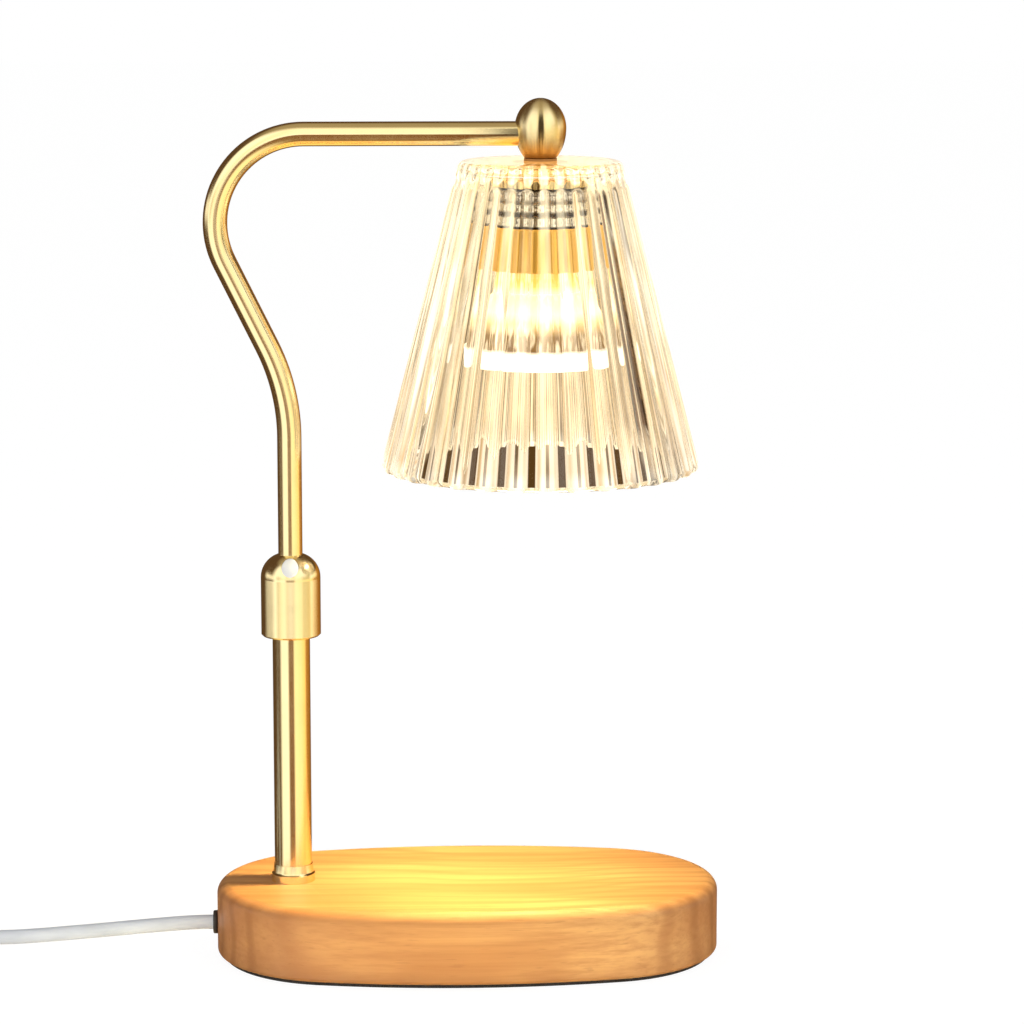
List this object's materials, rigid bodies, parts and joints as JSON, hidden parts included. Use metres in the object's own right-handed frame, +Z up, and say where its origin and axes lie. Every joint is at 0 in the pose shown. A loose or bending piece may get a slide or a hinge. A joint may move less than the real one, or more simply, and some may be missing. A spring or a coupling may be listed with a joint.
{
  "type": "candle warmer lamp",
  "caption": "Table lamp that warms a candle from above: oval wooden block, brass stem with a sliding gooseneck arm, ribbed glass shade over a reflector bulb.",
  "frame": {"origin": "on the table, at the middle of the oval block's underside", "axes": "+Z up; +X from the stem towards the shade, along the block; the button faces -Y, which is the front"},
  "size_m": [0.4142, 0.1252, 0.2857],
  "materials": {
    "oiled_beech": "satin",
    "black_foam_rubber": "matte",
    "ballast_steel": "matte",
    "zinc_steel": "satin",
    "polished_brass": "polished",
    "nylon": "satin",
    "white_button": "gloss",
    "clear_glass": "gloss",
    "clear_gasket": "satin",
    "chrome_plate": "polished",
    "white_ceramic": "satin",
    "bulb_glass": "gloss",
    "lens_glass": "gloss",
    "grey_sheath": "satin",
    "black_grommet": "satin",
    "core_insulation": "satin",
    "terminal_plastic": "matte",
    "plug_plastic": "satin",
    "nickel_blade": "polished",
    "circuit_board": "satin",
    "tie_plastic": "matte"
  },
  "bodies": {
    "base": {"wood_base": "oiled_beech", "non_slip_pad": "black_foam_rubber", "ballast_plate": "ballast_steel", "ballast_screws": "zinc_steel", "base_ring": "polished_brass", "lower_tube": "polished_brass", "tube_plug": "zinc_steel", "stem_nipple": "zinc_steel", "stem_washer": "zinc_steel", "stem_nut": "zinc_steel", "collar": "polished_brass", "collar_cap": "polished_brass", "guide_bush": "nylon", "button_spring": "zinc_steel", "cord_grommet": "black_grommet", "cord_clamp": "terminal_plastic", "clamp_screws": "zinc_steel", "terminal_block": "terminal_plastic", "base_leads": "core_insulation", "lead_near": "grey_sheath", "dimmer_lower": "plug_plastic", "dimmer_upper": "plug_plastic", "dimmer_board": "circuit_board", "dimmer_screws": "zinc_steel", "dimmer_boots": "grey_sheath", "lead_far": "grey_sheath", "lead_coil": "grey_sheath", "coil_tie": "tie_plastic", "lead_tail": "grey_sheath", "plug_boot": "grey_sheath", "plug_body": "plug_plastic", "plug_blades": "nickel_blade"},
    "slider": {"slide_bush": "nylon"},
    "arm": {"gooseneck_rod": "polished_brass", "rod_clips": "zinc_steel", "arm_cable": "grey_sheath", "ball_finial": "polished_brass", "finial_screw": "zinc_steel", "glass_shade": "clear_glass", "shade_gaskets": "clear_gasket", "shade_nut": "zinc_steel", "holder_nipple": "zinc_steel", "holder_cap": "polished_brass", "holder_bridge": "zinc_steel", "holder_sleeve": "chrome_plate", "holder_cup": "polished_brass", "socket_body": "white_ceramic", "socket_contacts": "nickel_blade", "bulb_base": "white_ceramic", "bulb_pins": "nickel_blade", "bulb_reflector": "bulb_glass", "bulb_lens": "lens_glass", "bulb_capsule": "lens_glass"},
    "button": {"release_button": "white_button", "lock_plate": "zinc_steel"},
    "dimmer_wheel": {"dimmer_wheel": "plug_plastic"}
  },
  "joints": [
    {"name": "arm_height", "type": "slide", "parent": "base", "child": "slider", "axis": [0, 0, 1], "range_m": [-0.03, 0.028]},
    {"name": "arm_swing", "type": "hinge", "parent": "slider", "child": "arm", "pos_m": [-0.05825, 0, 0.073], "axis": [0, 0, 1], "range_deg": [-90, 90]},
    {"name": "release_press", "type": "slide", "parent": "base", "child": "button", "axis": [0, 1, 0], "range_m": [0, 0.0013], "stiffness_N_per_m": 1500, "springref_m": -0.001},
    {"name": "dimmer_turn", "type": "hinge", "parent": "base", "child": "dimmer_wheel", "pos_m": [-0.213, -0.0037, 0.0074], "axis": [0, 0, 1], "range_deg": [-135, 135]}
  ]
}
